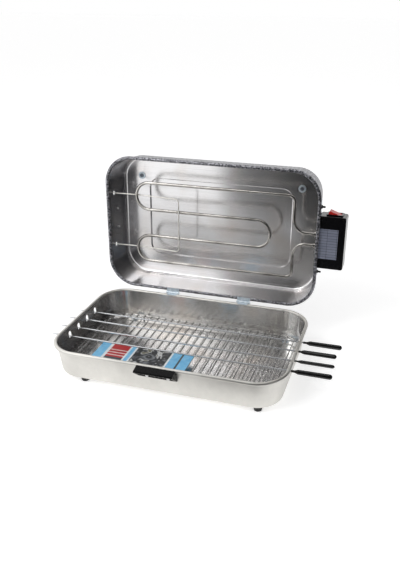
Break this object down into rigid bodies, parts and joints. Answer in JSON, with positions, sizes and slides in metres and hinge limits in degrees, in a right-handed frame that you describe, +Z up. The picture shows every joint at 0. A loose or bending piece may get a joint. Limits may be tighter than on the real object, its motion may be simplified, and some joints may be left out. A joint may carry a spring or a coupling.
{
  "type": "electric barbecue grill",
  "caption": "Countertop electric grill: drawn aluminium tray with wire rack and skewers under a hinged lid that carries a bent tube heater and a side switch box.",
  "frame": {"origin": "on the table, under the middle of the whole outline with the lid open", "axes": "+X to the right along the tray, +Y to the hinge side, +Z up"},
  "size_m": [0.572, 0.4124, 0.3614],
  "materials": {
    "tray_aluminium": "drawn sheet, satin outside and brushed inside",
    "lid_aluminium": "brushed inside, charcoal hammered paint outside",
    "foot_rubber": "matte",
    "bright_zinc": "bright zinc plating",
    "black_bakelite": "moulded, glossy",
    "skewer_steel": "drawn wire",
    "rack_chrome": "bright plating over welded wire",
    "printed_card": "coated card",
    "element_sheath": "dull oxidised tube",
    "black_plastic": "moulded",
    "black_steel": "blackened",
    "red_rocker": "glossy",
    "plate_foil": "satin foil",
    "white_ceramic": "fired, unglazed",
    "lead_sleeve": "heat-proof sleeve",
    "contact_brass": "stamped"
  },
  "bodies": {
    "base": {"base_foot_front_left": "foot_rubber", "base_foot_front_right": "foot_rubber", "base_foot_nuts": "bright_zinc", "base_foot_rear_left": "foot_rubber", "base_foot_rear_right": "foot_rubber", "base_foot_screws": "bright_zinc", "base_foot_washers": "bright_zinc", "base_tray": "tray_aluminium", "front_handle": "black_bakelite", "front_handle_rivets": "bright_zinc", "hinge_base_leaf_left": "bright_zinc", "hinge_base_leaf_right": "bright_zinc", "hinge_base_rivets": "bright_zinc", "hinge_pin_left": "bright_zinc", "hinge_pin_right": "bright_zinc", "printed_card": "printed_card", "rack_bars": "rack_chrome", "rack_frame": "rack_chrome", "rack_rails": "rack_chrome"},
    "lid": {"blank_plate": "plate_foil", "box_bracket": "bright_zinc", "box_cover": "black_plastic", "box_housing": "black_plastic", "box_leads": "lead_sleeve", "bracket_bolts": "black_steel", "bracket_nuts": "black_steel", "cord_bush": "black_plastic", "cover_screws": "bright_zinc", "element_glands": "bright_zinc", "element_insulators": "white_ceramic", "gland_nuts": "bright_zinc", "heating_element": "element_sheath", "hinge_lid_leaf_left": "bright_zinc", "hinge_lid_leaf_right": "bright_zinc", "hinge_lid_rivets": "bright_zinc", "lid_foot_left": "foot_rubber", "lid_foot_nuts": "bright_zinc", "lid_foot_right": "foot_rubber", "lid_foot_screws": "bright_zinc", "lid_foot_washers": "bright_zinc", "lid_handle": "black_bakelite", "lid_handle_rivets": "bright_zinc", "lid_shell": "lid_aluminium", "support_wire": "bright_zinc", "switch_blades": "contact_brass", "switch_body": "black_plastic", "terminal_block": "black_plastic", "terminal_pins": "bright_zinc"},
    "rocker": {"switch_rocker": "red_rocker"},
    "skewer_1": {"skewer_grip_1": "black_bakelite", "skewer_rod_1": "skewer_steel"},
    "skewer_2": {"skewer_grip_2": "black_bakelite", "skewer_rod_2": "skewer_steel"},
    "skewer_3": {"skewer_grip_3": "black_bakelite", "skewer_rod_3": "skewer_steel"},
    "skewer_4": {"skewer_grip_4": "black_bakelite", "skewer_rod_4": "skewer_steel"}
  },
  "joints": [
    {"name": "lid_hinge", "type": "hinge", "parent": "base", "child": "lid", "pos_m": [-0.01749, 0.10101, 0.0732], "axis": [1, 0, 0], "range_deg": [0, 94.3]},
    {"name": "rocker_pivot", "type": "hinge", "parent": "lid", "child": "rocker", "pos_m": [0.23801, 0.14468, 0.27178], "axis": [0, -0.9972, 0.075], "range_deg": [0, 40]},
    {"name": "skewer_1_turn", "type": "hinge", "parent": "base", "child": "skewer_1", "pos_m": [-0.01749, -0.09839, 0.051], "axis": [1, 0, 0], "continuous": true},
    {"name": "skewer_2_turn", "type": "hinge", "parent": "base", "child": "skewer_2", "pos_m": [-0.01749, -0.06298, 0.051], "axis": [1, 0, 0], "continuous": true},
    {"name": "skewer_3_turn", "type": "hinge", "parent": "base", "child": "skewer_3", "pos_m": [-0.01749, -0.02758, 0.051], "axis": [1, 0, 0], "continuous": true},
    {"name": "skewer_4_turn", "type": "hinge", "parent": "base", "child": "skewer_4", "pos_m": [-0.01749, 0.00782, 0.051], "axis": [1, 0, 0], "continuous": true}
  ]
}
